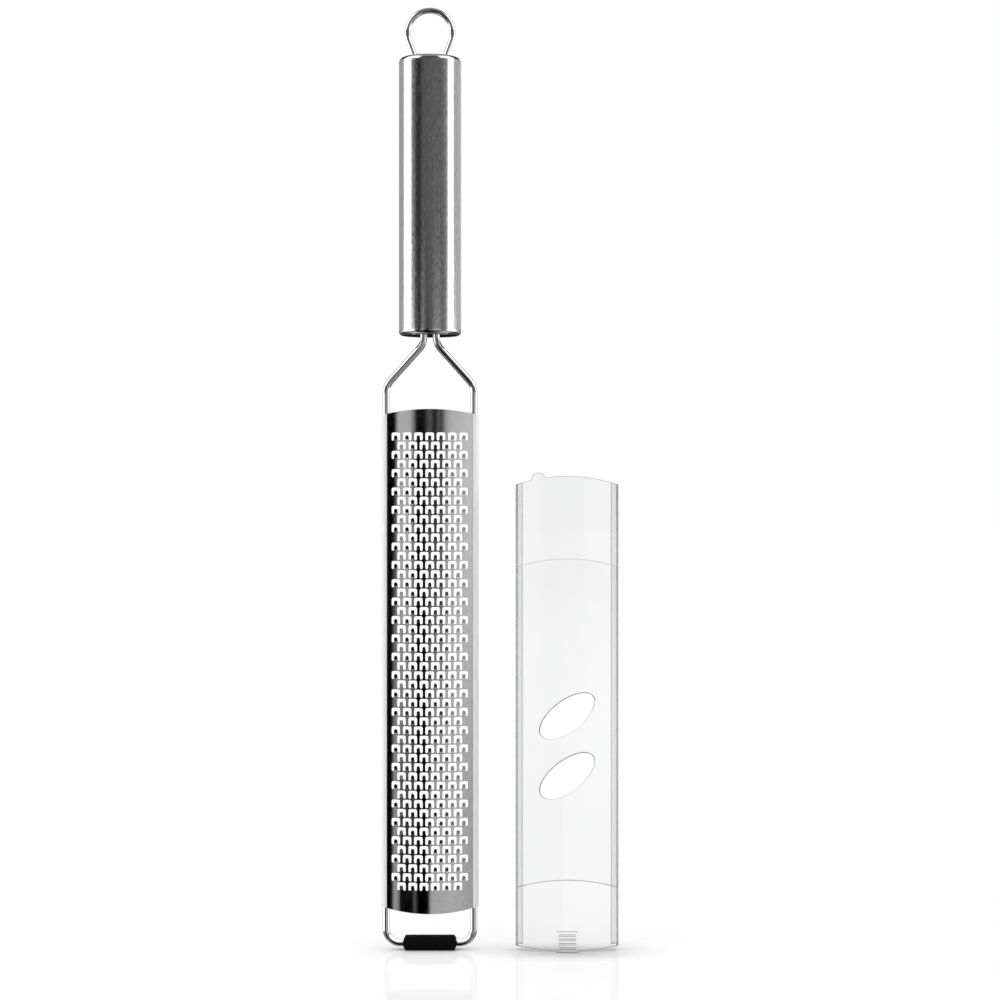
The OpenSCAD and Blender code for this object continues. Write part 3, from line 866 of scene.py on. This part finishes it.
# %% The rubber foot
FOOT_W, FOOT_FLAT_W, FOOT_H, FOOT_D, FOOT_FLAT_D, FOOT_EDGE_R = 19.6, 17.2, 4.9, 6.4, 4.4, 0.35
half_w, flat_w, half_d, flat_d = FOOT_W / 2, FOOT_FLAT_W / 2, FOOT_D / 2, FOOT_FLAT_D / 2
front = [(-flat_w, 0), (flat_w, 0), (half_w, CROSSBAR_Z), (flat_w, FOOT_H), (-flat_w, FOOT_H)]
front += [(-half_w, CROSSBAR_Z)]
cut = half_d - flat_d
end = [(-flat_d, 0), (flat_d, 0), (half_d, cut), (half_d, FOOT_H - cut)]
end += [(flat_d, FOOT_H), (-flat_d, FOOT_H), (-half_d, FOOT_H - cut), (-half_d, cut)]
foot = prism("foot_block", front, "Y", FOOT_D)
end_view = prism("end_view", end, "X", FOOT_W)
shared = foot.modifiers.new("shared", "BOOLEAN")
shared.operation, shared.solver, shared.object = "INTERSECT", "EXACT", end_view
settle(foot)
bpy.data.objects.remove(end_view)
soften = foot.modifiers.new("soften", "BEVEL")
soften.width, soften.segments = FOOT_EDGE_R * MM, 3
soften.limit_method, soften.angle_limit = "ANGLE", math.radians(20)
shade(settle(foot), 50)
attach(foot, "grater")
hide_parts("rubber_foot")
report(foot)

# %% [markdown]
# ## The clear cover
#
# A moulded cover has one even wall, so it can be drawn unrolled, as one flat sheet: its outline, its windows
# and the edges of everything that stands proud of it. The sheet is cut into triangles once and then wrapped
# round the cover's section twice, inside and outside. The path below tells, for a distance from the middle,
# where the inner face is and which way is out. Its corners are rounded as a mould's are.

# %% Sizes of the cover
COVER_X, COVER_LEN, COVER_WALL, COVER_PLAY, COVER_ARCH, COVER_SAG = 48.3, 167.0, 0.7, 0.2, 3.1, 1.6
TOOTH_ROOM, SIDE_ROOM, LIP_W = 0.7, 1.4, 2.5
TAB_W, TAB_H, TAB_FOOT, RIB_PITCH, RIB_COUNT, RIB_D = 7.6, 7.4, 0.4, 1.5, 4, 0.8
PANEL_TOP, PANEL_BOTTOM, PANEL_STEP, PANEL_SLOPE, TAB_SLOPE, RIB_SLOPE = 138.1, 25.2, 0.3, 0.3, 0.25, 0.24
WINDOW_L, WINDOW_W, WINDOW_TILT, WINDOWS_Z = 22.6, 10.8, math.radians(38), (61.8, 82.8)
CATCH_D, CATCH_X, CATCH_RISE = 5.0, 10.0, 2.2
in_half = WIRE_X + ROLL_R + COVER_PLAY
out_half = in_half + COVER_WALL
in_crown = CROWN_Y + TOOTH_RISE + TOOTH_ROOM
in_side = ROLL_R + SIDE_ROOM
in_sag = in_crown - in_side
in_r = (in_half**2 + in_sag**2) / (2 * in_sag)
arc_y = in_r - in_crown
lip_y = ROLL_R + COVER_PLAY

# %% The section as a path
CORNER = 0.2
turn_at = math.asin((in_half - CORNER) / (in_r - CORNER))
front_len = in_r * turn_at
corner_y = arc_y - math.sqrt((in_r - CORNER) ** 2 - (in_half - CORNER) ** 2)
lengths = [front_len, CORNER * (math.pi / 2 - turn_at), lip_y - CORNER - corner_y, CORNER * math.pi / 2]
lengths.append(in_half - CORNER - (out_half - LIP_W))
knots = np.cumsum([0] + lengths)


def on_path(u):
    """Point of the inner face and the outward normal, at a distance u to the right of the middle."""
    side, u = (-1 if u < 0 else 1), abs(u)
    part = min(int(np.searchsorted(knots, u, side="right")) - 1, 4)
    rest = u - knots[part]
    if part == 0:
        nx, ny = math.sin(u / in_r), -math.cos(u / in_r)
        x, y = in_r * nx, arc_y + in_r * ny
    elif part in (1, 3):
        angle = turn_at + rest / CORNER if part == 1 else math.pi / 2 + rest / CORNER
        nx, ny = math.sin(angle), -math.cos(angle)
        x, y = in_half - CORNER + CORNER * nx, (corner_y if part == 1 else lip_y - CORNER) + CORNER * ny
    elif part == 2:
        x, y, nx, ny = in_half, corner_y + rest, 1, 0
    else:
        x, y, nx, ny = in_half - CORNER - rest, lip_y, 0, 1
    return side * x, y, side * nx, ny


print("unrolled half width, mm:", round(float(knots[-1]), 2))

# %% The sheet's outline, windows and raised parts
catch_z = COVER_LEN - COVER_ARCH * (CATCH_X / out_half) ** 2 + CATCH_RISE - CATCH_D / 2
stations = [0.0]
for first, last, steps in zip(knots, knots[1:], (14, 4, 2, 4, 2)):
    stations += list(np.linspace(first, last, steps + 1)[1:])
stations = [-u for u in stations[:0:-1]] + stations
catch_x = [-CATCH_X + CATCH_D / 2 * math.cos(a) for a in np.linspace(0, math.pi, 17)]


def unrolled(x):
    """Distance from the middle along the crowned front for a place x in the front view."""
    return in_r * math.asin(x / in_r)


def top_edge(u):
    """Height of the upper edge, with the catch."""
    x = on_path(u)[0]
    z = COVER_LEN - dropped(x, COVER_ARCH, out_half)
    in_catch = (CATCH_D / 2) ** 2 - (x + CATCH_X) ** 2
    return max(z, catch_z + math.sqrt(in_catch)) if in_catch > 0 else z


def low_edge(u):
    """Height of the lower edge beside the tab."""
    return TAB_FOOT + dropped(on_path(u)[0], COVER_SAG, out_half)


tab = unrolled(TAB_W / 2)
left_low = [u for u in stations if u < -tab - 0.3]
bottom = [(u, low_edge(u)) for u in left_low] + [(-tab, low_edge(-tab)), (-tab, 0), (0, 0), (tab, 0)]
bottom += [(tab, low_edge(tab))] + [(-u, low_edge(u)) for u in left_low[::-1]]
top_u = sorted({round(u, 5) for u in stations + [unrolled(x) for x in catch_x]}, reverse=True)
sheet_edge = bottom + [(u, top_edge(u)) for u in top_u]


def oval(z, grow=0.0):
    """A tilted window's edge on the unrolled sheet."""
    points = []
    for x, y in arc((0, 0), 1, 0, 355, 71):
        a, b = x * (WINDOW_L / 2 + grow), y * (WINDOW_W / 2 + grow)
        points.append(
            (unrolled(a * math.cos(WINDOW_TILT) - b * math.sin(WINDOW_TILT)),
             z + a * math.sin(WINDOW_TILT) + b * math.cos(WINDOW_TILT))
        )
    return points


def inset(loop, distance):
    """A closed outline moved inwards. It runs anticlockwise."""
    moved = []
    for before, here, after in zip(loop[-1:] + loop[:-1], loop, loop[1:] + loop[:1]):
        a = Vector((here[0] - before[0], here[1] - before[1])).normalized()
        b = Vector((after[0] - here[0], after[1] - here[1])).normalized()
        way_in = Vector((-a.y - b.y, a.x + b.x)) / max(1 + a.dot(b), 0.3)
        moved.append((here[0] + distance * way_in.x, here[1] + distance * way_in.y))
    return moved


panel_u = [u for u in stations if abs(u) < front_len - 0.6]
panel_u = [-front_len + 0.05] + panel_u + [front_len - 0.05]
panel = [
    (u, z - dropped(on_path(u)[0], COVER_ARCH, out_half))
    for z, line in ((PANEL_BOTTOM, panel_u), (PANEL_TOP, panel_u[::-1]))
    for u in line
]
tab_plate = [(-tab, -2), (tab, -2), (tab, TAB_H), (-tab, TAB_H)]
raised_parts = [(panel, PANEL_SLOPE, PANEL_STEP), (tab_plate, TAB_SLOPE, PANEL_STEP)]
rib_z = (TAB_H - (RIB_COUNT - 1) * RIB_PITCH) / 2
for i in range(RIB_COUNT):
    z, half_w, half_h = rib_z + i * RIB_PITCH, TAB_W / 2 - RIB_D, RIB_D / 2
    bar = [(-half_w, z - half_h), (half_w, z - half_h), (half_w, z + half_h), (-half_w, z + half_h)]
    raised_parts.append((bar, RIB_SLOPE, RIB_D / 2))
windows = [oval(z) for z in WINDOWS_Z]

# %% [markdown]
# Every edge of the sheet gets a small break, as a moulded edge has: the outermost points lie a little inside
# the wall on both faces. Without it the edges of a clear piece would be nearly invisible, because the light
# would pass them straight.

# %% Cut the sheet and wrap it round the section
BREAK_W, BREAK_DEPTH = 0.24, 0.2
loops = [sheet_edge, inset(sheet_edge, BREAK_W)] + windows
loops += [oval(z, BREAK_W) for z in WINDOWS_Z]
for loop, slope, height in raised_parts:
    loops += [loop, inset(loop, slope)]
points, edges = [], []
for loop in loops:
    edges += [(len(points) + i, len(points) + (i + 1) % len(loop)) for i in range(len(loop))]
    points += [Vector(p) for p in loop]
for u in stations[1:-1]:  # lines that run past the sheet at both ends
    edges.append((len(points), len(points) + 1))
    points += [Vector((u, -3)), Vector((u, COVER_LEN + 4))]
flat, _, cells, *_ = delaunay_2d_cdt(points, edges, [], 0, 1e-4)


def belongs(cell):
    """Whether a triangle lies in the sheet and in no window."""
    middle = mean([flat[i] for i in cell])
    return inside(middle, sheet_edge) and not any(inside(middle, w) for w in windows)


cells = [c for c in cells if belongs(c)]
used = sorted({i for c in cells for i in c})
number = {old: new for new, old in enumerate(used)}
flat = [flat[i] for i in used]
cells = [[number[i] for i in c] for c in cells]
sides = {(c[i], c[(i + 1) % 3]) for c in cells for i in range(3)}
rim = [(a, b) for a, b in sides if (b, a) not in sides]
on_rim = {i for pair in rim for i in pair}
tops = [(inset(loop, slope - 0.04), height) for loop, slope, height in raised_parts]
proud = [sum(height for loop, height in tops if inside(p, loop)) for p in flat]
count = len(flat)
points, ways = [], []
for face_out in (True, False):
    for i, (u, z) in enumerate(flat):
        x, y, nx, ny = on_path(u)
        lift = COVER_WALL + proud[i] if face_out else 0
        if i in on_rim:
            lift += -BREAK_DEPTH if face_out else BREAK_DEPTH / 2
        points.append((COVER_X + x + lift * nx, y + lift * ny, z))
        ways.append(Vector((nx, ny, 0)) * (1 if face_out else -1))
faces = cells + [[count + i for i in c[::-1]] for c in cells]
faces += [[b, a, count + a, count + b] for a, b in rim]
cover = piece("cover_shell", points, faces, clear)

# %% Exact normals on the even parts of the wall
normals = []
for face in cover.data.polygons:
    flat_spots = [i % count for i in face.vertices]
    even = not on_rim.intersection(flat_spots) and len({i // count for i in face.vertices}) == 1
    if even and face.vertices[0] < count:
        even = len({round(proud[i], 3) for i in flat_spots}) == 1
    normals += [ways[i] if even else face.normal.copy() for i in face.vertices]
cover.data.normals_split_custom_set(normals)

# %% Frosted edges, steps and lips, with their painted shade
# Each level sets both a face's frost and the painted shade that darkens its colour.
RIM_FROST_AND_SHADE, STEP_FROST_AND_SHADE, LOW_STEP_FROST_AND_SHADE, TAB_FROST_AND_SHADE, LIP_FROST_AND_SHADE = 0.5, 0.4, 0.22, 0.07, 0.15
WINDOW_FROST_AND_SHADE, WINDOW_SIDE_FROST_AND_SHADE = 0.55, 0.45


def frost_and_shade_of(face):
    """Frost and painted shade of a face, from 0 to 1; a window's rim is shaded darkest on its upper left."""
    flat_spots = [i % count for i in face.vertices]
    middle = mean([flat[i] for i in flat_spots])
    if on_rim.intersection(flat_spots):
        for z in WINDOWS_Z:
            if inside(middle, oval(z, 0.5)):
                across = (middle.y - z) * math.cos(WINDOW_TILT) - middle.x * math.sin(WINDOW_TILT)
                return WINDOW_FROST_AND_SHADE + WINDOW_SIDE_FROST_AND_SHADE * max(-1, min(1, 4 * across / WINDOW_W))
        return RIM_FROST_AND_SHADE
    if face.vertices[0] < count and len({round(proud[i], 3) for i in flat_spots}) > 1:
        if middle.y < TAB_H + 0.1:
            return TAB_FROST_AND_SHADE
        return LOW_STEP_FROST_AND_SHADE if middle.y < PANEL_BOTTOM + 1 else STEP_FROST_AND_SHADE
    return LIP_FROST_AND_SHADE if abs(middle.x) > knots[2] else 0.0


frost_and_shade = [frost_and_shade_of(face) for face in cover.data.polygons]
cover.data.attributes.new("frost_and_shade", "FLOAT", "FACE").data.foreach_set("value", frost_and_shade)
print("frosted faces:", sum(f > 0 for f in frost_and_shade), "of", len(frost_and_shade))
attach(cover, "cover")
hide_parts("cover")
report(cover)
